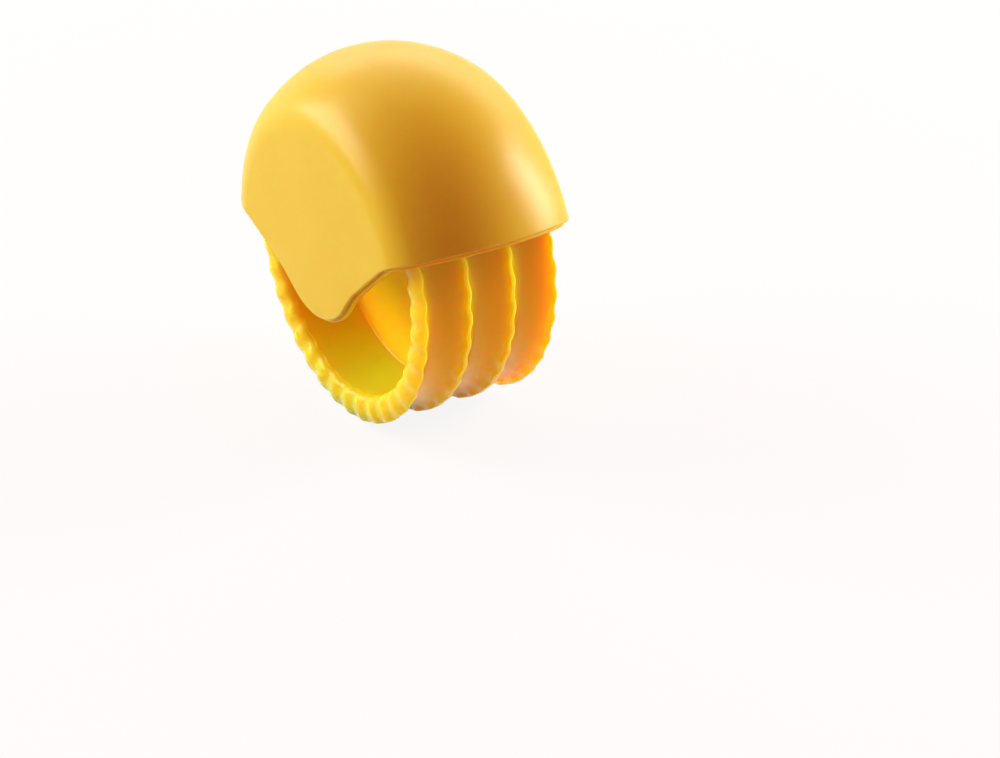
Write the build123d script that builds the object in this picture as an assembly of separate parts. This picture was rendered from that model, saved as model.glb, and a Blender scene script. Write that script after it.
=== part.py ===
from build123d import *
from math import asin, atan2, cos, pi, radians, sin, tan
import os

# A hand-held pasta cutter: a domed palm grip over one ribbed cutting roller.
# All lengths are millimetres and all angles are degrees.
# X runs along the roller's axle, -Y is the way the cutter is pushed in use, +Z is up.
# The origin is on the table, straight below the middle of the axle.

os.makedirs("parts", exist_ok=True)

# Cutting roller: wavy blades round a drum
BLADE_RADIUS = 35.0
BLADE_COUNT = 4
BLADE_PITCH = 10.8
BLADE_LAND = 1.0
END_LAND = 0.45
WAVE_COUNT = 36
WAVE_SWING = 0.25
CHANNEL_DEPTH = 3.2
RIM_BULGE = 0.9
MOUTH_DEPTH = 6.0
RIM_WALL = 7.0
CUP_LIP_DEPTH = 3.0
CUP_FLOOR_ROUND = 0.5
WEB_THICKNESS = 2.4
WEB_SEAT = 1.0
HUB_WALL = 1.35

# Axle and the clearances round the roller
AXLE_RADIUS = 2.0
RUNNING_CLEARANCE = 0.05
PRESS_CLEARANCE = 0.01
HUB_END_CLEARANCE = 0.3
SIDE_CLEARANCE = 2.2
CROWN_CLEARANCE = 7.75
BOSS_WALL = 2.4
BOSS_HEIGHT = 1.5

# Handle: an outer cover snapped over an inner frame
COVER_WALL = 1.2
FRAME_WALL = 1.2
SHELL_CLEARANCE = 0.1
FACET_INSET = 4.0
SHOULDER_RADIUS = 10.3
HANDLE_TILT = 11.3
FRAME_LIP = 0.9
EDGE_ROUND = 0.4

# Ear outline, seen from the side: a blunt tip, two flanks and a straight rim, a little behind the axle
EAR_SHIFT = 1.0
EAR_DROP = 10.6
TIP_RADIUS = 15.5
TIP_SLOPE = 43.5
FLANK_START = 15.0
FLANK_RADIUS = 26.0
FLANK_SLOPE = 32.0
RIM_SLOPE = 13.7
RIM_RADIUS = 20.0

# Snap buttons that hold the cover on the frame
BUTTON_RADIUS = 2.5
BUTTON_HEIGHT = 0.6
BUTTON_CLEARANCE = 0.15
BUTTON_REACH = 21.0
BUTTON_SPREAD = 42.0

# The share of a wave that is left a little way inside the cup, and how finely curves are stepped
LIP_WAVE_SHARE = 0.45
CHANNEL_STEPS = 8
RIM_STEPS = 6
FLOOR_STEPS = 3
POINTS_PER_WAVE = 4

# How nearly a face's normal must lie across the axle to count as part of the cut rim
SQUARE_SHARE = 0.001

# Sizes that follow from the ones above
axle_height = BLADE_RADIUS
last_blade = BLADE_PITCH * (BLADE_COUNT - 1) / 2
crest_edge = last_blade - BLADE_LAND / 2 + END_LAND
roller_half = crest_edge + RIM_BULGE + WAVE_SWING
mouth_radius = BLADE_RADIUS - MOUTH_DEPTH
cup_floor_radius = BLADE_RADIUS - RIM_WALL
seat_radius = cup_floor_radius - WEB_SEAT
web_half = WEB_THICKNESS / 2
frame_inset = COVER_WALL + SHELL_CLEARANCE
hollow_inset = frame_inset + FRAME_WALL
cheek_inside = roller_half + SIDE_CLEARANCE
cheek_outside = cheek_inside + FRAME_WALL
side_half = cheek_inside + hollow_inset
facet_radius = BLADE_RADIUS - FACET_INSET
crown_radius = BLADE_RADIUS + CROWN_CLEARANCE + hollow_inset
hub_bore = AXLE_RADIUS + RUNNING_CLEARANCE
hub_half = cheek_inside - BOSS_HEIGHT - HUB_END_CLEARANCE
overrun = crown_radius


def wavy_ring(x, radius, share):
    """One closed line round the roller whose place along the axle swings with the waves."""
    if share == 0:
        return Wire(Edge.make_circle(radius, Plane((x, 0, axle_height), (0, 0, 1), (1, 0, 0))))
    count = WAVE_COUNT * POINTS_PER_WAVE
    points = []
    for k in range(count):
        turn = 2 * pi * k / count
        swing = WAVE_SWING * share * cos(WAVE_COUNT * turn)
        points.append((x + swing, -radius * sin(turn), axle_height + radius * cos(turn)))
    return Wire(Edge.make_spline([Vector(*p) for p in points], periodic=True))


def cup_stations():
    """The cup from its rounded floor corner up the drafted wall to just inside the mouth."""
    stations = []
    for k in range(FLOOR_STEPS + 1):
        turn = pi / 2 * k / FLOOR_STEPS
        x = web_half + CUP_FLOOR_ROUND * (1 - cos(turn))
        stations.append((x, cup_floor_radius - CUP_FLOOR_ROUND * (1 - sin(turn)), 0))
    draft = (mouth_radius - cup_floor_radius) / (crest_edge - web_half)
    for depth, share in ((CUP_LIP_DEPTH, 0), (CUP_LIP_DEPTH / 3, LIP_WAVE_SHARE)):
        stations.append((crest_edge - depth, mouth_radius - draft * depth, share))
    return stations


def end_ring_stations():
    """The end ring's outer face, one shallow arc from the cup's mouth out to the last blade's crest."""
    half_chord = MOUTH_DEPTH / 2
    arc_radius = (half_chord**2 + RIM_BULGE**2) / (2 * RIM_BULGE)
    half_angle = asin(half_chord / arc_radius)
    stations = []
    for k in range(RIM_STEPS + 1):
        turn = half_angle * (2 * k / RIM_STEPS - 1)
        x = crest_edge + RIM_BULGE - arc_radius * (1 - cos(turn))
        stations.append((x, mouth_radius + half_chord + arc_radius * sin(turn), 1))
    return stations


def channel_stations(centre):
    """The hollow between two blades: half an ellipse, its waves fading towards the floor."""
    half_width = (BLADE_PITCH - BLADE_LAND) / 2
    stations = []
    for k in range(CHANNEL_STEPS + 1):
        turn = pi * k / CHANNEL_STEPS
        x = centre - half_width * cos(turn)
        share = 1 - sin(turn) if 0 < k < CHANNEL_STEPS else 1
        stations.append((x, BLADE_RADIUS - CHANNEL_DEPTH * sin(turn), share))
    return stations


def roller_stations():
    """The roller's whole section from the left cup's floor, over the blades, to the right cup's."""
    end = cup_stations() + end_ring_stations()
    stations = [(-x, radius, share) for x, radius, share in end]
    for k in range(BLADE_COUNT - 1):
        stations += channel_stations(BLADE_PITCH * (k + 1) - last_blade - BLADE_PITCH / 2)
    return stations + end[::-1]


def axle_cylinder(radius, start, finish):
    """A cylinder round the axle line, from one place along it to another."""
    plane = Plane((start, 0, axle_height), (0, 0, 1), (1, 0, 0))
    return Solid.make_cylinder(radius, finish - start, plane)


def make_roller():
    """The drum with its wavy blades, and a low seat round its middle for the hub disc."""
    rings = [wavy_ring(x, radius, share) for x, radius, share in roller_stations()]
    drum = Solid.make_loft(rings, ruled=True)
    return drum - axle_cylinder(seat_radius, -overrun, overrun)


def make_hub_disc():
    """The web between the two cups, pressed into the drum's seat, and the hub through its middle."""
    disc = axle_cylinder(seat_radius - PRESS_CLEARANCE, -web_half, web_half)
    hub = axle_cylinder(hub_bore + HUB_WALL, -hub_half, hub_half)
    return disc + hub - axle_cylinder(hub_bore, -overrun, overrun)


def make_axle():
    """A plain steel rod, as long as the frame is wide, trapped by the cover's cheeks."""
    return axle_cylinder(AXLE_RADIUS, -cheek_outside, cheek_outside)


def wheel(inset):
    """The dome's round body before its rim is cut: two flat sides, two shoulders and a crown."""
    shoulder_x = side_half - SHOULDER_RADIUS
    fall = crown_radius - facet_radius
    crown_arc = (fall**2 + shoulder_x**2 - SHOULDER_RADIUS**2) / (2 * (fall - SHOULDER_RADIUS))
    crown_middle = crown_radius - crown_arc
    lean = atan2(facet_radius - crown_middle, shoulder_x)
    shoulder = SHOULDER_RADIUS - inset
    flat = (side_half - inset, facet_radius)
    belly = (shoulder_x + shoulder * cos(lean / 2), facet_radius + shoulder * sin(lean / 2))
    meet = (shoulder_x + shoulder * cos(lean), facet_radius + shoulder * sin(lean))
    top = (0, crown_radius - inset)
    outline = Polyline((-flat[0], flat[1]), (-flat[0], 0), (flat[0], 0), flat)
    outline += ThreePointArc(flat, belly, meet)
    outline += ThreePointArc(meet, top, (-meet[0], meet[1]))
    outline += ThreePointArc((-meet[0], meet[1]), (-belly[0], belly[1]), (-flat[0], flat[1]))
    section = Plane.XZ * make_face(outline)
    return Pos(0, 0, axle_height) * revolve(section, Axis.X, 360)


def rim_region(drop):
    """Everything above the dome's rim, with the rim let down by a given drop, in the tilted pose."""
    tip_height = -EAR_DROP - TIP_RADIUS * (1 / cos(radians(TIP_SLOPE)) - 1)
    knee = (FLANK_START, tip_height + FLANK_START * tan(radians(TIP_SLOPE)))
    corner_y = knee[1] - knee[0] * tan(radians(FLANK_SLOPE))
    corner_y /= tan(radians(RIM_SLOPE)) - tan(radians(FLANK_SLOPE))
    corner = (corner_y, corner_y * tan(radians(RIM_SLOPE)))
    end = (overrun * 2, overrun * 2 * tan(radians(RIM_SLOPE)))
    right = [knee, corner, end]
    left = [(-y, z) for y, z in reversed(right)]
    line = FilletPolyline(*left, (0, tip_height), *right,
                          radius=[RIM_RADIUS, FLANK_RADIUS, TIP_RADIUS, FLANK_RADIUS, RIM_RADIUS])
    line += Polyline(end, (end[0], overrun * 2), (-end[0], overrun * 2), (-end[0], end[1]))
    side_view = Plane.YZ.offset(-overrun) * make_face(line)
    block = extrude(side_view, overrun * 2, dir=(1, 0, 0))
    return Pos(0, 0, axle_height - drop) * Rot(-HANDLE_TILT, 0, 0) * Pos(0, EAR_SHIFT, 0) * block


def round_rim(shell):
    """Rounds both long edges of a shell's cut rim, where it meets the outer and the inner skin."""
    flat_kinds = (GeomType.PLANE, GeomType.CYLINDER)
    rim = [f for f in shell.faces() if f.geom_type in flat_kinds and abs(f.normal_at().X) < SQUARE_SHARE]
    skin_edges = [edge for face in shell.faces() if face not in rim for edge in face.edges()]
    rim_edges = [edge for face in rim for edge in face.edges()]
    return shell.fillet(EDGE_ROUND, [e for e in rim_edges if any(e.is_same(other) for other in skin_edges)])


def button_places():
    """Where the snap buttons sit on each cheek, in the tilted handle."""
    places = []
    for spread in (-BUTTON_SPREAD, BUTTON_SPREAD):
        angle = radians(spread + HANDLE_TILT)
        places.append((BUTTON_REACH * sin(angle), axle_height + BUTTON_REACH * cos(angle)))
    return places


def buttons(radius, start, height):
    """Short round pegs on both cheeks, standing outwards from a place along the axle."""
    pegs = []
    for y, z in button_places():
        for side in (-1, 1):
            plane = Plane((side * start, y, z), (0, 0, 1), (side, 0, 0))
            pegs.append(Solid.make_cylinder(radius, height, plane))
    return pegs


def make_cover():
    """The satin outer dome, with a blind recess for each of the frame's snap buttons."""
    shell = round_rim((wheel(0) - wheel(COVER_WALL)) & rim_region(0))
    recess_depth = BUTTON_HEIGHT + SHELL_CLEARANCE / 2
    for peg in buttons(BUTTON_RADIUS + BUTTON_CLEARANCE, cheek_outside, recess_depth):
        shell -= peg
    return shell


def make_frame():
    """The inner shell that carries the axle between its two cheeks; its lip shows below the cover."""
    shell = round_rim((wheel(frame_inset) - wheel(hollow_inset)) & rim_region(FRAME_LIP))
    boss_radius = AXLE_RADIUS + BOSS_WALL
    for side in (-1, 1):
        ends = sorted((side * (cheek_inside - BOSS_HEIGHT), side * (cheek_inside + FRAME_WALL / 2)))
        shell += axle_cylinder(boss_radius, *ends)
    for peg in buttons(BUTTON_RADIUS, cheek_outside, BUTTON_HEIGHT):
        shell += peg
    return shell - axle_cylinder(AXLE_RADIUS + PRESS_CLEARANCE, -overrun, overrun)


pieces = {
    "dome_cover": make_cover(),
    "inner_frame": make_frame(),
    "axle": make_axle(),
    "cutting_roller": make_roller(),
    "hub_disc": make_hub_disc(),
}

for name, shape in pieces.items():
    export_step(shape, f"parts/{name}.step")
    box = shape.bounding_box()
    print(name, "volume", round(shape.volume), "low", box.min, "high", box.max)
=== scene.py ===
# %% [markdown]
# A hand-held pasta cutter.
# A domed palm grip holds one roller with four wavy blades, and the roller turns on a steel axle.
# The construction is already done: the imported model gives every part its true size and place.
# This lesson gives those parts their final surfaces, materials and light, and never moves them.

import math

import bpy
from mathutils import Matrix, Quaternion, Vector
from mathutils.geometry import intersect_line_sphere


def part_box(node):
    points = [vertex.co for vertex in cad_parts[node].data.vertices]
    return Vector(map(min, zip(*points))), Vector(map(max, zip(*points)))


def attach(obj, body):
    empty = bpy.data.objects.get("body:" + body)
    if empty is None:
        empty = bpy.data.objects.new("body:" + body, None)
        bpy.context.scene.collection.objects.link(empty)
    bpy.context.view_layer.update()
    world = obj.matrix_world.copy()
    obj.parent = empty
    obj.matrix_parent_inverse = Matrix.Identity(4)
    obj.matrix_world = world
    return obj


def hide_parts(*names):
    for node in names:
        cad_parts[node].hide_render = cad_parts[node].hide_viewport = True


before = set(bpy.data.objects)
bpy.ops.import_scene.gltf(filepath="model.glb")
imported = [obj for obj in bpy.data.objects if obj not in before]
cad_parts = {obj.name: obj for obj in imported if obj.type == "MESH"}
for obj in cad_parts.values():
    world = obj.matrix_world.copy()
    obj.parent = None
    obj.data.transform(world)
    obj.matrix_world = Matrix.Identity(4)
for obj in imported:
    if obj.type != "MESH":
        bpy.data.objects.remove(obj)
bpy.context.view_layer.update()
print("parts:", sorted(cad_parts))

# %% [markdown]
# Blender works in metres and a moulder thinks in millimetres, so one value turns one into the other.
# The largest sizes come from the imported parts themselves.
# The blades touch the table, so half of the roller's height is both its radius and the axle's height.

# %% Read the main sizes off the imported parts
MM = 0.001

roller_low, roller_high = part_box("cutting_roller")
cover_low, cover_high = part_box("dome_cover")
blade_radius = (roller_high.z - roller_low.z) / 2
axle = Vector((0, 0, (roller_high.z + roller_low.z) / 2))
cover_half = (cover_high.x - cover_low.x) / 2
crown_radius = cover_high.z - axle.z
print("blade radius", round(blade_radius / MM, 2), "crown radius", round(crown_radius / MM, 2), "mm")

# %% [markdown]
# An operator acts on everything that is selected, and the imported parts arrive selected.
# So each step starts by leaving edit mode and letting go of everything.
# Outlines are drawn as by hand: a small plane is merged to one point, and that point is extruded
# along the outline, place by place.

# %% Helpers for selecting and drawing
SAME_PLACE = 0.002 * MM


def let_go():
    """Leaves edit mode and deselects every object."""
    if bpy.context.mode != "OBJECT":
        bpy.ops.object.mode_set(mode="OBJECT")
    bpy.ops.object.select_all(action="DESELECT")


def take_up(piece):
    """Selects one piece alone and makes it the active one."""
    let_go()
    piece.select_set(True)
    bpy.context.view_layer.objects.active = piece


def start_point(name, place):
    """A new piece that is one point, selected in edit mode, with its origin at the world's."""
    let_go()
    bpy.ops.mesh.primitive_plane_add(size=MM, location=place)
    piece = bpy.context.object
    piece.name = piece.data.name = name
    bpy.ops.object.transform_apply(location=True, rotation=True, scale=True)
    bpy.ops.object.mode_set(mode="EDIT")
    bpy.ops.mesh.select_mode(type="VERT")
    bpy.ops.mesh.select_all(action="SELECT")
    bpy.ops.mesh.merge(type="CENTER")
    return piece


def draw_through(points):
    """Extrudes the selected point from the first of the places to each of the next."""
    for here, there in zip(points, points[1:]):
        bpy.ops.mesh.extrude_region_move(TRANSFORM_OT_translate={"value": there - here})


def select_points(piece, wanted):
    """Selects the points of a piece whose place passes a test, and stays in edit mode."""
    bpy.ops.mesh.select_all(action="DESELECT")
    bpy.ops.object.mode_set(mode="OBJECT")
    for vertex in piece.data.vertices:
        vertex.select = wanted(vertex.co)
    bpy.ops.object.mode_set(mode="EDIT")


def merge_and_face_out():
    """Joins points that lie on each other and turns every face outwards."""
    bpy.ops.mesh.select_all(action="SELECT")
    bpy.ops.mesh.remove_doubles(threshold=SAME_PLACE)
    bpy.ops.mesh.normals_make_consistent(inside=False)


print("helpers ready; points nearer than", SAME_PLACE / MM, "mm are one point")

# %% [markdown]
# Modifiers round the edges and give a skin its wall, and each one is applied at once.
# The finish is the same for every moulded piece: smooth shading with true edges kept sharp, and
# normals weighted by face area, so that a flat side stays flat right up to its rounded edge.

# %% Helpers for finishing
SMOOTH_ANGLE = math.radians(35)
ROUNDED_ANGLE = math.radians(50)


def apply_modifier(piece, kind, **settings):
    """Adds one modifier with its settings and applies it."""
    take_up(piece)
    modifier = piece.modifiers.new(kind.lower(), kind)
    for name, value in settings.items():
        setattr(modifier, name, value)
    bpy.ops.object.modifier_apply(modifier=modifier.name)


def round_edges(piece, radius, segments):
    """Rounds every edge at which the faces turn by more than ROUNDED_ANGLE."""
    apply_modifier(piece, "BEVEL", width=radius, segments=segments, limit_method="ANGLE",
                   angle_limit=ROUNDED_ANGLE, use_clamp_overlap=True)


def smooth_off(piece):
    """Smooth shading, with area-weighted normals, on a finished piece."""
    take_up(piece)
    bpy.ops.object.shade_smooth_by_angle(angle=SMOOTH_ANGLE)
    apply_modifier(piece, "WEIGHTED_NORMAL", mode="FACE_AREA", keep_sharp=True)
    let_go()
    triangles = sum(len(face.vertices) - 2 for face in piece.data.polygons)
    print(piece.name, "has", triangles, "triangles")


print("edges sharper than", round(math.degrees(ROUNDED_ANGLE)), "degrees are rounded")

# %% [markdown]
# The cutting roller
# Four blades run round a drum with a cup at each end, and a thin web between the cups carries the
# hub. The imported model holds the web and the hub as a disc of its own. Both are drawn here as one
# turned shape without a seam: half of its section is drawn and spun round the axle. The blades then
# wave from side to side. A vertex group holds how far each point follows the waves, and it is drawn
# with the section, because the spin copies it to every ring.

# %% Sizes of the roller
BLADE_COUNT = 4
BLADE_PITCH = 10.8 * MM
BLADE_LAND = 1.0 * MM
END_LAND = 0.45 * MM
CHANNEL_DEPTH = 3.2 * MM
RIM_BULGE = 0.9 * MM
MOUTH_DEPTH = 6.0 * MM
RIM_WALL = 7.0 * MM
CUP_LIP_DEPTH = 3.0 * MM
CUP_FLOOR_ROUND = 0.5 * MM
WEB_THICKNESS = 2.4 * MM
HUB_RADIUS = 3.4 * MM
HUB_BORE = 2.05 * MM
HUB_HALF = 17.7 * MM
CREST_ROUND = 0.16 * MM

last_blade = BLADE_PITCH * (BLADE_COUNT - 1) / 2
crest_edge = last_blade - BLADE_LAND / 2 + END_LAND
mouth_radius = blade_radius - MOUTH_DEPTH
cup_floor = blade_radius - RIM_WALL
print("last blade at", round(last_blade / MM, 2), "mm, cup mouth radius", round(mouth_radius / MM, 2), "mm")

# %% [markdown]
# The section runs from the floor of the left cup up its wall, over a soft lip at the mouth and out
# to the last blade, through the channels, down into the right cup and along the hub. Each point has
# three values: its place along the axle, its radius, and its share of the wave. The lip is rounder
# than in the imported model, because a soft lip catches the row of highlights round the mouth.

# %% Work out the roller's section
LIP_RADIUS = 1.6 * MM
LIP_DEPTH = 1.0 * MM
LIP_POINTS = 3
FLOOR_STEPS = 5
WALL_STEPS = 5
LIP_STEPS = 8
RING_STEPS = 12
CHANNEL_STEPS = 22


def round_corner(before, corner, after, radius, steps):
    """The points of the arc that rounds a corner between two straight runs."""
    back = (before - corner).normalized()
    on = (after - corner).normalized()
    half = back.angle(on) / 2
    middle = corner + (back + on).normalized() * radius / math.sin(half)
    reach = radius / math.tan(half)
    first = corner + back * reach - middle
    last = corner + on * reach - middle
    return [middle + first.slerp(last, k / steps) * radius for k in range(steps + 1)]


def cup_section():
    """From the cup's rounded floor up its wall, whose wave grows, to just inside the mouth."""
    section = []
    for k in range(FLOOR_STEPS + 1):
        turn = math.pi / 2 * k / FLOOR_STEPS
        x = WEB_THICKNESS / 2 + CUP_FLOOR_ROUND * (1 - math.cos(turn))
        section.append((x, cup_floor - CUP_FLOOR_ROUND * (1 - math.sin(turn)), 0))
    draft = (mouth_radius - cup_floor) / (crest_edge - WEB_THICKNESS / 2)
    for k in range(WALL_STEPS + 1):
        rise = k / WALL_STEPS
        depth = CUP_LIP_DEPTH + (LIP_DEPTH - CUP_LIP_DEPTH) * rise
        section.append((crest_edge - depth, mouth_radius - draft * depth, rise**2))
    return section


def end_ring_section():
    """The end ring's outer face: a lip instead of its first points, and an arc out to the crest."""
    half_chord = MOUTH_DEPTH / 2
    arc_radius = (half_chord**2 + RIM_BULGE**2) / (2 * RIM_BULGE)
    half_angle = math.asin(half_chord / arc_radius)
    face = []
    for k in range(RING_STEPS + 1):
        turn = half_angle * (2 * k / RING_STEPS - 1)
        x = crest_edge + RIM_BULGE - arc_radius * (1 - math.cos(turn))
        face.append(Vector((x, 0, mouth_radius + half_chord + arc_radius * math.sin(turn))))
    inside = face[0] - Vector((CUP_LIP_DEPTH, 0, 0))
    lip = round_corner(inside, face[0], face[LIP_POINTS - 1], LIP_RADIUS, LIP_STEPS)
    return [(point.x, point.z, 1) for point in lip + face[LIP_POINTS:]]


def channel_section(centre):
    """Half an ellipse between two blades, whose waves fade towards its floor."""
    half_width = (BLADE_PITCH - BLADE_LAND) / 2
    section = []
    for k in range(CHANNEL_STEPS + 1):
        turn = math.pi * k / CHANNEL_STEPS
        radius = blade_radius - CHANNEL_DEPTH * math.sin(turn)
        section.append((centre - half_width * math.cos(turn), radius, 1 - math.sin(turn)))
    return section


def roller_section():
    """The whole closed section, from the left cup over the blades to the right one and the hub."""
    end = cup_section() + end_ring_section()
    section = [(-x, radius, share) for x, radius, share in end]
    for k in range(BLADE_COUNT - 1):
        section += channel_section(BLADE_PITCH * (k + 1) - last_blade - BLADE_PITCH / 2)
    section += end[::-1]
    web = WEB_THICKNESS / 2
    hub = [(web, HUB_RADIUS), (HUB_HALF, HUB_RADIUS), (HUB_HALF, HUB_BORE)]
    hub += [(-x, radius) for x, radius in hub[::-1]]
    return section + [(x, radius, 0) for x, radius in hub]


print("the roller's section has", len(roller_section()), "points")

# %% [markdown]
# The section is drawn above the axle, one point after another, and one edge closes it. A full turn
# of spin then makes the roller, in ten steps for each wave, so that every wave is a smooth curve.

# %% Draw the section and spin it
WAVE_COUNT = 36
WAVE_SWING = 0.25 * MM
STEPS_PER_WAVE = 10


def spin_roller():
    """Draws the section above the axle, names each point's share of the wave and spins it round."""
    section = roller_section()
    places = [Vector((x - WAVE_SWING * share, 0, axle.z + radius)) for x, radius, share in section]
    piece = start_point("wavy_roller", places[0])
    draw_through(places)
    bpy.ops.object.mode_set(mode="OBJECT")
    group = piece.vertex_groups.new(name="wave")
    for vertex in piece.data.vertices:
        nearest = min(range(len(places)), key=lambda k: (places[k] - vertex.co).length)
        group.add([vertex.index], section[nearest][2], "REPLACE")
    bpy.ops.object.mode_set(mode="EDIT")
    ends = (places[0], places[-1])
    select_points(piece, lambda place: min((place - end).length for end in ends) < SAME_PLACE)
    bpy.ops.mesh.edge_face_add()
    bpy.ops.mesh.select_all(action="SELECT")
    steps = WAVE_COUNT * STEPS_PER_WAVE
    bpy.ops.mesh.spin(steps=steps, angle=2 * math.pi, center=axle, axis=(1, 0, 0))
    merge_and_face_out()
    let_go()
    return piece


roller = spin_roller()
print(roller.name, "has", len(roller.data.vertices), "points")

# %% [markdown]
# The wave itself
# Each blade swings a quarter of a millimetre to both sides, 36 times round the roller. The Displace
# modifier, without a texture, pushes every point along X by its strength times the point's weight.
# A weight cannot be negative, so the section was drawn at the waves' left ends, and the weight runs
# from 0 to 1.

# %% Swing the blades
def swing_blades(piece):
    """Turns each point's share into its weight at this turn, and displaces the points by it."""
    group = piece.vertex_groups["wave"]
    for vertex in piece.data.vertices:
        turn = math.atan2(-vertex.co.y, vertex.co.z - axle.z)
        reach = (1 + math.cos(WAVE_COUNT * turn)) / 2
        group.add([vertex.index], group.weight(vertex.index) * reach, "REPLACE")
    apply_modifier(piece, "DISPLACE", direction="X", strength=2 * WAVE_SWING, mid_level=0,
                   vertex_group="wave")
    piece.vertex_groups.clear()


swing_blades(roller)
round_edges(roller, CREST_ROUND, segments=2)
smooth_off(roller)

# %% [markdown]
# The dome
# The grip is two thin shells, one in the other: the outer cover and the frame that carries the
# axle. Both are a piece of one wheel-like body, with flat sides, rounded shoulders and a crowned
# tread, cut off along a rim that drops to an ear on each side. A Boolean cut would leave slivers in
# the polished crown, so the skin is spun only as far as the rim, and each of its rings is then
# stretched to end on the rim line. The flat sides are filled from ring to ear as single faces.

# %% Sizes of the dome
FACET_RADIUS = 31.0 * MM
SHOULDER_RADIUS = 10.3 * MM
HANDLE_TILT = math.radians(11.3)
EAR_SHIFT = 1.0 * MM
EAR_DROP = 10.6 * MM
TIP_RADIUS = 15.5 * MM
TIP_SLOPE = math.radians(43.5)
FLANK_START = 15.0 * MM
FLANK_RADIUS = 26.0 * MM
FLANK_SLOPE = math.radians(32)
RIM_SLOPE = math.radians(13.7)
RIM_RADIUS = 20.0 * MM
SHELL_WALL = 1.2 * MM
SHELL_EDGE_ROUND = 0.4 * MM
FRAME_INSET = 1.3 * MM
FRAME_LIP = 0.9 * MM

shoulder_x = cover_half - SHOULDER_RADIUS
fall = crown_radius - FACET_RADIUS
crown_arc = (fall**2 + shoulder_x**2 - SHOULDER_RADIUS**2) / (2 * (fall - SHOULDER_RADIUS))
crown_middle = crown_radius - crown_arc
lean = math.atan2(FACET_RADIUS - crown_middle, shoulder_x)
print("the crown's own arc has a radius of", round(crown_arc / MM, 2), "mm")

# %% [markdown]
# The rim line is drawn in the side view: straight runs joined by tangent arcs.
# An arc's points come from swinging a spoke from the first tangent point to the last one.

# %% Work out the rim line
CORNER_STEPS = 14


def rim_line(drop):
    """The rim's side view from the front to the back, let down by a given drop."""
    tip_z = -EAR_DROP - TIP_RADIUS * (1 / math.cos(TIP_SLOPE) - 1)
    knee_z = tip_z + FLANK_START * math.tan(TIP_SLOPE)
    flank, rim = math.tan(FLANK_SLOPE), math.tan(RIM_SLOPE)
    corner_y = (knee_z - FLANK_START * flank) / (rim - flank)
    end_y = 2 * crown_radius
    back = [(FLANK_START, knee_z), (corner_y, corner_y * rim), (end_y, end_y * rim)]
    front = [(-y, z) for y, z in reversed(back)]
    corners = [Vector((0, y, z)) for y, z in front + [(0, tip_z)] + back]
    radii = [RIM_RADIUS, FLANK_RADIUS, TIP_RADIUS, FLANK_RADIUS, RIM_RADIUS]
    line = [corners[0]]
    for k, radius in enumerate(radii):
        line += round_corner(*corners[k:k + 3], radius, CORNER_STEPS)
    line.append(corners[-1])
    place = Matrix.Translation(axle - Vector((0, 0, drop))) @ Matrix.Rotation(-HANDLE_TILT, 4, "X")
    place = place @ Matrix.Translation((0, EAR_SHIFT, 0))
    return [place @ point for point in line]


def rim_crossing(line, radius):
    """Where a circle round the axle first meets the line, walking in from its first point."""
    for a, b in zip(line, line[1:]):
        for hit in intersect_line_sphere(a, b, axle, radius, True):
            if hit is not None:
                return hit


def turn_of(place):
    """How far a place is turned from straight above the axle, positive towards the front."""
    return math.atan2(axle.y - place.y, place.z - axle.z)


lowest = min(rim_line(0), key=lambda point: point.z)
print("the ear ends", round(lowest.z / MM, 2), "mm above the table")

# %% [markdown]
# Across the dome, the section is one wide and shallow arc over the crown, with a tighter arc at each
# side for the shoulder. It ends where the flat sides begin. The frame has the same section, moved
# inwards all along by the frame's inset.

# %% Work out the dome's section
SHOULDER_STEPS = 12
CROWN_STEPS = 30


def arc_points(middle_x, middle_radius, radius, start, finish, steps):
    """Points of an arc in the section, as places along the axle and radii."""
    points = []
    for k in range(steps + 1):
        turn = start + (finish - start) * k / steps
        points.append((middle_x + radius * math.cos(turn), middle_radius + radius * math.sin(turn)))
    return points


def dome_section(inset):
    """The skin's section from the left flat side over the crown to the right one."""
    shoulder = SHOULDER_RADIUS - inset
    left = arc_points(-shoulder_x, FACET_RADIUS, shoulder, math.pi, math.pi - lean, SHOULDER_STEPS)
    crown = arc_points(0, crown_middle, crown_arc - inset, math.pi - lean, lean, CROWN_STEPS)
    right = arc_points(shoulder_x, FACET_RADIUS, shoulder, lean, 0, SHOULDER_STEPS)
    return left + crown[1:-1] + right


print("the dome's section has", len(dome_section(0)), "points")

# %% [markdown]
# Each point of the section makes one ring round the axle, and each ring meets the rim line at its
# own turn. So the spin covers the span of the outermost ring, and every ring is then stretched
# along itself until both its ends lie on the rim line. A full set of rings ends there as one edge.

# %% Spin the skin and settle its rings on the rim
DOME_STEPS = 128


def spin_skin(name, section, line):
    """Spins the section from the front rim to the back one, and stretches each ring to the rim."""
    spans = {}
    for x, radius in section:
        front = turn_of(rim_crossing(line, radius))
        spans[radius] = (front, turn_of(rim_crossing(line[::-1], radius)))
    start, finish = spans[max(spans)]
    across = Vector((0, -math.sin(start), math.cos(start)))
    places = [axle + Vector((x, 0, 0)) + across * radius for x, radius in section]
    piece = start_point(name, places[0])
    draw_through(places)
    bpy.ops.mesh.select_all(action="SELECT")
    bpy.ops.mesh.spin(steps=DOME_STEPS, angle=start - finish, center=axle, axis=(1, 0, 0))
    bpy.ops.object.mode_set(mode="OBJECT")
    for vertex in piece.data.vertices:
        radius = math.hypot(vertex.co.y - axle.y, vertex.co.z - axle.z)
        front, back = spans[min(spans, key=lambda known: abs(known - radius))]
        share = (turn_of(vertex.co) - start) / (finish - start)
        turn = front + (back - front) * share
        vertex.co = axle + Vector((vertex.co.x, -radius * math.sin(turn), radius * math.cos(turn)))
    bpy.ops.object.mode_set(mode="EDIT")
    return piece


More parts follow.
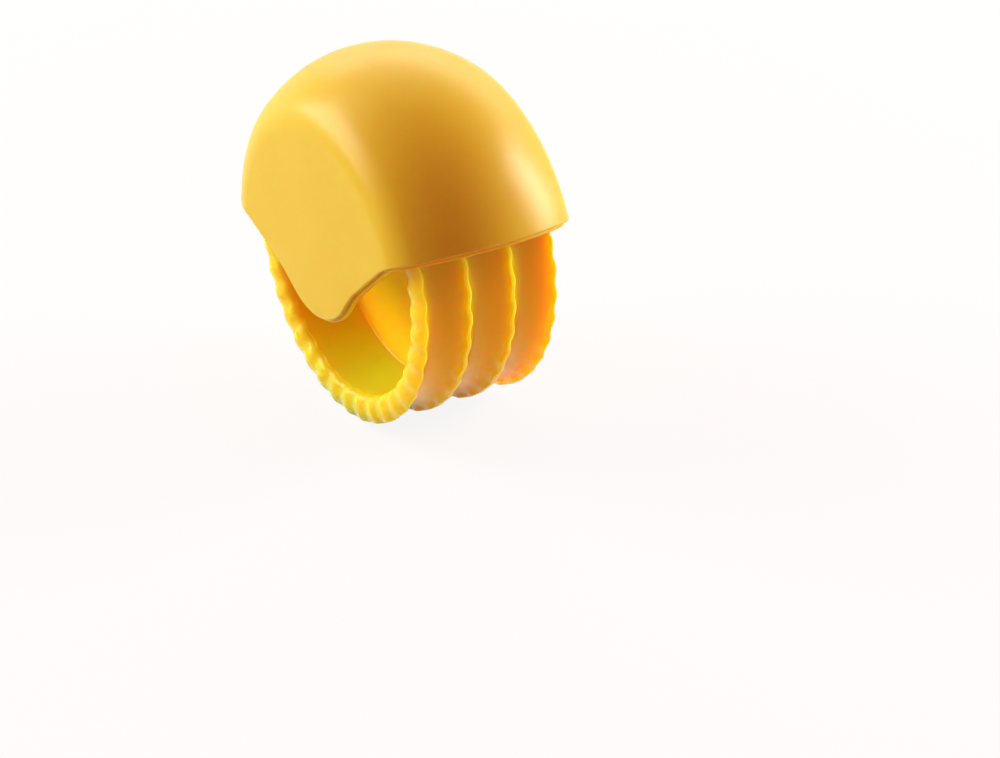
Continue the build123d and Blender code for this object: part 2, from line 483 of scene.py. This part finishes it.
def fill_sides(piece, inset, line):
    """Draws the ear from the front rim to the back one on both sides, and fills each flat side."""
    front, back = rim_crossing(line, FACET_RADIUS), rim_crossing(line[::-1], FACET_RADIUS)
    ear = [point for point in line if (point - axle).length < FACET_RADIUS - SAME_PLACE]
    for side in (-1, 1):
        flat_x = side * (cover_half - inset)
        out = Vector((flat_x, 0, 0))
        select_points(piece, lambda place: (place - front - out).length < SAME_PLACE)
        draw_through([front, *ear, back])
        merge_and_face_out()
        select_points(piece, lambda place: abs(place.x - flat_x) < SAME_PLACE)
        bpy.ops.mesh.edge_face_add()
    merge_and_face_out()


def make_shell(name, inset, drop):
    """One shell of the dome: skin, flat sides, wall thickness and rounded rim."""
    line = rim_line(drop)
    piece = spin_skin(name, dome_section(inset), line)
    fill_sides(piece, inset, line)
    let_go()
    apply_modifier(piece, "SOLIDIFY", thickness=SHELL_WALL, offset=-1, use_even_offset=True,
                   use_quality_normals=True)
    round_edges(piece, SHELL_EDGE_ROUND, segments=4)
    return piece


cover = make_shell("cover_shell", 0, 0)
inner = make_shell("frame_shell", FRAME_INSET, FRAME_LIP)
print(cover.name, inner.name, "have", len(cover.data.vertices), "and", len(inner.data.vertices), "points")

# %% [markdown]
# The round details
# The frame has a boss round the axle inside each cheek, and four pegs outside that snap into blind
# recesses in the cover. They lie on flat faces, where a Boolean modifier leaves clean edges.

# %% Add the bosses and pegs, and cut the recesses and the axle's hole
BOSS_RADIUS = 4.4 * MM
BOSS_HEIGHT = 1.5 * MM
AXLE_HOLE_RADIUS = 2.01 * MM
PEG_RADIUS = 2.5 * MM
PEG_HEIGHT = 0.6 * MM
RECESS_RADIUS = 2.65 * MM
RECESS_DEPTH = 0.65 * MM
PEG_REACH = 21.0 * MM
PEG_SPREAD = math.radians(42)
SUNK = 0.5 * MM
ROUND_STEPS = 72

cheek_outside = cover_half - FRAME_INSET
cheek_inside = cheek_outside - SHELL_WALL


def round_feature(piece, operation, radius, start, finish, place):
    """Joins a cylinder along the axle's direction to a piece, or cuts it out of the piece."""
    let_go()
    middle = Vector(((start + finish) / 2, place.y, place.z))
    bpy.ops.mesh.primitive_cylinder_add(vertices=ROUND_STEPS, radius=radius, depth=abs(finish - start),
                                        location=middle, rotation=(0, math.pi / 2, 0))
    tool = bpy.context.object
    bpy.ops.object.transform_apply(location=True, rotation=True, scale=True)
    apply_modifier(piece, "BOOLEAN", object=tool, operation=operation, solver="EXACT")
    bpy.data.objects.remove(tool)


for side in (-1, 1):
    round_feature(inner, "UNION", BOSS_RADIUS, side * (cheek_inside - BOSS_HEIGHT),
                  side * (cheek_inside + SUNK), axle)
    for spread in (-PEG_SPREAD, PEG_SPREAD):
        turn = spread + HANDLE_TILT
        place = axle + PEG_REACH * Vector((0, math.sin(turn), math.cos(turn)))
        round_feature(inner, "UNION", PEG_RADIUS, side * (cheek_outside - SUNK),
                      side * (cheek_outside + PEG_HEIGHT), place)
        round_feature(cover, "DIFFERENCE", RECESS_RADIUS, side * cheek_outside,
                      side * (cheek_outside + RECESS_DEPTH), place)
round_feature(inner, "DIFFERENCE", AXLE_HOLE_RADIUS, -cover_half, cover_half, axle)
smooth_off(cover)
smooth_off(inner)

# %% [markdown]
# Materials
# Every finish is a node material. Colours are written as sRGB hex values, as a colour picker shows
# them, and one function turns them into the linear light that the shader needs.
# One small function adds a node, with its own settings and with what goes into its sockets.

# %% Helpers for materials
def linear(hex_colour):
    """An sRGB hex colour as linear red, green, blue and alpha."""
    shares = [int(hex_colour[k:k + 2], 16) / 255 for k in (1, 3, 5)]
    return [s / 12.92 if s <= 0.04045 else ((s + 0.055) / 1.055) ** 2.4 for s in shares] + [1]


def add_node(tree, kind, settings=None, sockets=None):
    """Adds a node; a socket's value may be a number, a colour or another node's output."""
    node = tree.nodes.new(kind)
    for name, value in (settings or {}).items():
        setattr(node, name, value)
    for name, value in (sockets or {}).items():
        if isinstance(value, bpy.types.NodeSocket):
            tree.links.new(value, node.inputs[name])
        else:
            node.inputs[name].default_value = value
    return node


def new_material(name):
    """An empty node material and its tree."""
    material = bpy.data.materials.new(name)
    material.use_nodes = True
    material.node_tree.nodes.clear()
    return material, material.node_tree


print("pure mid grey is", round(linear("#808080")[0], 3), "in linear light")

# %% [markdown]
# Moulded plastics: warm yellow ABS and lemon yellow acetal
# The cover is injection-moulded ABS. Its mould was spark eroded, which gives a fine even grain and
# a soft, wide highlight. The pigment is not perfectly even, and handling polishes it a little here
# and there. The real grain is about 0.1 mm, too fine for this picture, so it is drawn at 0.4 mm.
# The frame is ABS too, from a smoother mould. Its yellow is set lighter than the cover's: partly
# its own tone and partly painted light, which lifts its lip where it sits in shade under the rim.
# The roller is acetal, which is slippery enough to turn on a bare steel rod. It is polished, and
# light goes deep into it. Red goes the furthest, so its shaded walls glow orange. Both smooth
# plastics have a wider and fainter unevenness.
# The gloss stays under the shader's usual 0.5, at which a white floor bleaches such a deep yellow.

# %% Make the moulded plastics
WARM_WHITE = "#FFF8E0"
NOISE_LOW, NOISE_HIGH = 0.3, 0.7
POLISH_SPREAD = 0.1
REACH_OF_RED_GREEN_BLUE = (1.0, 0.26, 0.1)


def moulded_plastic(name, light, deep, ior, gloss, roughness, patch, grain, grain_height, scatter, reach):
    """A pigmented moulding: patches of tone and polish, a fine grain, and light that goes in."""
    material, tree = new_material(name)
    place = add_node(tree, "ShaderNodeTexCoord").outputs["Object"]
    patches = add_node(tree, "ShaderNodeTexNoise", {}, {"Vector": place, "Scale": 1 / patch, "Detail": 3})
    tone = add_node(tree, "ShaderNodeMix", {"data_type": "RGBA"}, {"Factor": patches.outputs["Fac"]})
    tone.inputs[6].default_value = linear(light)
    tone.inputs[7].default_value = linear(deep)
    polish = add_node(tree, "ShaderNodeMapRange", {}, {
        "Value": patches.outputs["Fac"], "From Min": NOISE_LOW, "From Max": NOISE_HIGH,
        "To Min": roughness * (1 - POLISH_SPREAD), "To Max": roughness * (1 + POLISH_SPREAD)})
    grains = add_node(tree, "ShaderNodeTexNoise", {}, {"Vector": place, "Scale": 1 / grain, "Detail": 2})
    bump = add_node(tree, "ShaderNodeBump", {}, {"Height": grains.outputs["Fac"], "Distance": grain_height})
    shader = add_node(tree, "ShaderNodeBsdfPrincipled", {"subsurface_method": "RANDOM_WALK"}, {
        "Base Color": tone.outputs[2], "Roughness": polish.outputs["Result"], "IOR": ior,
        "Specular IOR Level": gloss, "Specular Tint": linear(WARM_WHITE),
        "Subsurface Weight": scatter, "Subsurface Radius": REACH_OF_RED_GREEN_BLUE,
        "Subsurface Scale": reach, "Normal": bump.outputs["Normal"]})
    add_node(tree, "ShaderNodeOutputMaterial", {}, {"Surface": shader.outputs["BSDF"]})
    return material


cover_plastic = moulded_plastic(
    "satin_moulded_abs", light="#DDC626", deep="#D7BF22", ior=1.53, gloss=0.25, roughness=0.34,
    patch=14 * MM, grain=0.4 * MM, grain_height=0.002 * MM, scatter=0.5, reach=0.6 * MM)
# The frame's lighter yellow is partly painted light: it lifts the lip that sits in shade under the rim.
frame_plastic = moulded_plastic(
    "gloss_moulded_abs_painted_lift", light="#F4CE2A", deep="#EEC626", ior=1.53, gloss=0.15, roughness=0.35,
    patch=14 * MM, grain=0.8 * MM, grain_height=0.001 * MM, scatter=0.8, reach=2 * MM)
roller_plastic = moulded_plastic(
    "polished_acetal", light="#EEDA23", deep="#EAD520", ior=1.48, gloss=0.2, roughness=0.2,
    patch=9 * MM, grain=1.6 * MM, grain_height=0.004 * MM, scatter=1, reach=12 * MM)
print("plastics:", cover_plastic.name, frame_plastic.name, roller_plastic.name)

# %% [markdown]
# Drawn stainless rod
# The axle is a cold-drawn rod. Drawing it through a die leaves fine lines along its length, so the
# noise that gives its roughness is stretched along X.

# %% Make the axle's steel
def drawn_steel(name, colour, line_width, stretch, groove, smooth, rough):
    """A metal whose fine lines run along X."""
    material, tree = new_material(name)
    place = add_node(tree, "ShaderNodeTexCoord").outputs["Object"]
    drawn = add_node(tree, "ShaderNodeMapping", {}, {"Vector": place, "Scale": (1 / stretch, 1, 1)})
    lines = add_node(tree, "ShaderNodeTexNoise", {}, {
        "Vector": drawn.outputs["Vector"], "Scale": 1 / line_width, "Detail": 2})
    wear = add_node(tree, "ShaderNodeMapRange", {}, {
        "Value": lines.outputs["Fac"], "To Min": smooth, "To Max": rough})
    bump = add_node(tree, "ShaderNodeBump", {}, {"Height": lines.outputs["Fac"], "Distance": groove})
    shader = add_node(tree, "ShaderNodeBsdfPrincipled", {}, {
        "Base Color": linear(colour), "Metallic": 1, "Roughness": wear.outputs["Result"],
        "Normal": bump.outputs["Normal"]})
    add_node(tree, "ShaderNodeOutputMaterial", {}, {"Surface": shader.outputs["BSDF"]})
    return material


axle_steel = drawn_steel("drawn_stainless_steel", colour="#B9B7B2", line_width=0.15 * MM, stretch=30,
                         groove=0.002 * MM, smooth=0.22, rough=0.4)
print("steel:", axle_steel.name)

# %% [markdown]
# Dress the pieces
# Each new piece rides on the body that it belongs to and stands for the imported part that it
# replaces. The axle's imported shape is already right, so it only gets its steel.

# %% Put the materials on and tie the pieces to their bodies
def dress(piece, material, body, nodes):
    """Gives a new piece its material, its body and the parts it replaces."""
    piece.data.materials.clear()
    piece.data.materials.append(material)
    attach(piece, body)
    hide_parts(*nodes)


dress(cover, cover_plastic, "handle", ["dome_cover"])
dress(inner, frame_plastic, "handle", ["inner_frame"])
dress(roller, roller_plastic, "roller", ["cutting_roller", "hub_disc"])
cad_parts["axle"].material_slots[0].material = axle_steel

# %% [markdown]
# The floor
# The cutter stands on a plain pale floor that fills the view. To the camera, and in reflections,
# most of its light is its own, so that it reads as white, and the rest keeps the soft shadow. Where
# the object itself is lit by it, it is only a pale matt floor.

# %% Lay the floor
FLOOR_COLOUR = "#D0CCC6"
FLOOR_SIZE = 8.0
FLOOR_GLOW = 1.04
FLOOR_GLOW_SHARE = 0.85


def seen_directly(tree):
    """1 for the camera and for what it sees in reflections and through glass, otherwise 0."""
    seen = add_node(tree, "ShaderNodeLightPath")
    either = add_node(tree, "ShaderNodeMath", {"operation": "MAXIMUM"}, {
        0: seen.outputs["Is Camera Ray"], 1: seen.outputs["Is Glossy Ray"]})
    any_of = add_node(tree, "ShaderNodeMath", {"operation": "MAXIMUM"}, {
        0: either.outputs["Value"], 1: seen.outputs["Is Transmission Ray"]})
    return any_of.outputs["Value"]


def floor_material():
    """A pale matt floor that is brightened for what sees it directly."""
    material, tree = new_material("pale_matt_floor")
    share = add_node(tree, "ShaderNodeMath", {"operation": "MULTIPLY"}, {
        0: seen_directly(tree), 1: FLOOR_GLOW_SHARE})
    matt = add_node(tree, "ShaderNodeBsdfDiffuse", {}, {"Color": linear(FLOOR_COLOUR)})
    white = add_node(tree, "ShaderNodeEmission", {}, {"Color": linear("#FFFFFF"), "Strength": FLOOR_GLOW})
    mixed = add_node(tree, "ShaderNodeMixShader", {}, {
        0: share.outputs["Value"], 1: matt.outputs["BSDF"], 2: white.outputs["Emission"]})
    add_node(tree, "ShaderNodeOutputMaterial", {}, {"Surface": mixed.outputs["Shader"]})
    return material


let_go()
bpy.ops.mesh.primitive_plane_add(size=FLOOR_SIZE, location=(0, 0, 0))
floor = bpy.context.object
floor.name = "floor"
floor.data.materials.append(floor_material())
print("the floor is", FLOOR_SIZE, "m wide")

# %% [markdown]
# The light
# A large softbox stands behind the left side and gives the wide highlight on that shoulder. A
# narrower and brighter one at the right gives the long highlight there. Two dim ones, behind and
# above, lift the back and the crown. The side towards the camera stays darker, which models the
# dome. A softbox is set by how bright it looks, so its power is worked out from its size: an area
# lamp looks as bright as 1 when it has 4 watts on each square metre.

# %% Set the softboxes
AIM = Vector((0, 0, 45 * MM))
LAMP_DISTANCE = 1.0
WATTS_PER_SQUARE_METRE = 4


def softbox(name, azimuth, elevation, width, height, brightness):
    """An area light that faces the cutter; azimuth 0 is the front and 90 the right."""
    a, e = math.radians(azimuth), math.radians(elevation)
    out = Vector((math.sin(a) * math.cos(e), -math.cos(a) * math.cos(e), math.sin(e)))
    let_go()
    bpy.ops.object.light_add(type="AREA", location=AIM + out * LAMP_DISTANCE,
                             rotation=out.to_track_quat("Z", "Y").to_euler())
    lamp = bpy.context.object
    lamp.name = name
    lamp.data.shape = "RECTANGLE"
    lamp.data.size = width
    lamp.data.size_y = height
    lamp.data.energy = brightness * WATTS_PER_SQUARE_METRE * width * height
    lamp.visible_camera = False


softbox("left_softbox", azimuth=-134, elevation=24, width=0.72, height=0.72, brightness=5.7)
softbox("right_softbox", azimuth=76, elevation=18, width=0.4, height=0.64, brightness=11.5)
softbox("back_softbox", azimuth=135, elevation=28, width=1.6, height=0.38, brightness=1.6)
softbox("top_softbox", azimuth=180, elevation=55, width=1.1, height=0.5, brightness=0.55)

# %% [markdown]
# The room
# The world stands for the room round the softboxes: warm and dim in front and overhead, with a grey
# wall low down behind the cutter. The warm side fills the dome's shaded front, which gives it the
# deep orange that yellow plastic has in shade. The camera and the reflections see plain white
# instead, as they do on the floor, so the background is white from every side.

# %% Set the world
ROOM_STRENGTH = 0.8
WALL_FULL_BELOW, WALL_GONE_ABOVE = 0.3, 0.75
WALL_GONE_BEFORE, WALL_FULL_BEHIND = -0.3, 0.5

world = bpy.data.worlds.new("studio")
bpy.context.scene.world = world
world.use_nodes = True
studio = world.node_tree
studio.nodes.clear()
ray = add_node(studio, "ShaderNodeTexCoord").outputs["Generated"]
way = add_node(studio, "ShaderNodeSeparateXYZ", {}, {"Vector": ray})
low = add_node(studio, "ShaderNodeMapRange", {"interpolation_type": "SMOOTHSTEP"}, {
    "Value": way.outputs["Z"], "From Min": WALL_FULL_BELOW, "From Max": WALL_GONE_ABOVE,
    "To Min": 1, "To Max": 0})
behind = add_node(studio, "ShaderNodeMapRange", {"interpolation_type": "SMOOTHSTEP"}, {
    "Value": way.outputs["Y"], "From Min": WALL_GONE_BEFORE, "From Max": WALL_FULL_BEHIND})
wall = add_node(studio, "ShaderNodeMath", {"operation": "MULTIPLY"}, {
    0: low.outputs["Result"], 1: behind.outputs["Result"]})
tint = add_node(studio, "ShaderNodeMix", {"data_type": "RGBA"}, {"Factor": wall.outputs["Value"]})
tint.inputs[6].default_value = linear("#C23030")
tint.inputs[7].default_value = linear("#AAAAAA")
room = add_node(studio, "ShaderNodeBackground", {}, {
    "Color": tint.outputs[2], "Strength": ROOM_STRENGTH})
white = add_node(studio, "ShaderNodeBackground", {}, {"Color": linear("#FFFFFF")})
sky = add_node(studio, "ShaderNodeMixShader", {}, {
    0: seen_directly(studio), 1: room.outputs["Background"], 2: white.outputs["Background"]})
add_node(studio, "ShaderNodeOutputWorld", {}, {"Surface": sky.outputs["Shader"]})
print("the room's strength is", ROOM_STRENGTH, "and the white's is", white.inputs["Strength"].default_value)

# %% [markdown]
# The camera
# The photograph was taken from the front left, 30 degrees above the table, with a long lens.
# The camera's place and lens were found by matching the roller's circles and the dome's outline.

# %% Place the camera
CAMERA_PLACE = Vector((-286.57, -474.94, 322.71)) * MM
CAMERA_AZIMUTH = math.radians(-33.285)
CAMERA_ELEVATION = math.radians(30.009)
CAMERA_ROLL = math.radians(0.811)
CAMERA_LENS = 103.42
SENSOR_WIDTH = 36
NEAREST_SEEN = 10 * MM

back_x = math.sin(CAMERA_AZIMUTH) * math.cos(CAMERA_ELEVATION)
back_y = -math.cos(CAMERA_AZIMUTH) * math.cos(CAMERA_ELEVATION)
backwards = Vector((back_x, back_y, math.sin(CAMERA_ELEVATION)))
level = backwards.to_track_quat("Z", "Y")
let_go()
bpy.ops.object.camera_add(location=CAMERA_PLACE)
camera = bpy.context.object
camera.rotation_mode = "QUATERNION"
camera.rotation_quaternion = level @ Quaternion((0, 0, 1), CAMERA_ROLL)
camera.data.lens = CAMERA_LENS
camera.data.sensor_width = SENSOR_WIDTH
camera.data.clip_start = NEAREST_SEEN
bpy.context.scene.camera = camera
bpy.context.scene.view_settings.view_transform = "Standard"
print("camera", round(CAMERA_PLACE.length, 3), "m from the origin, lens", CAMERA_LENS, "mm")
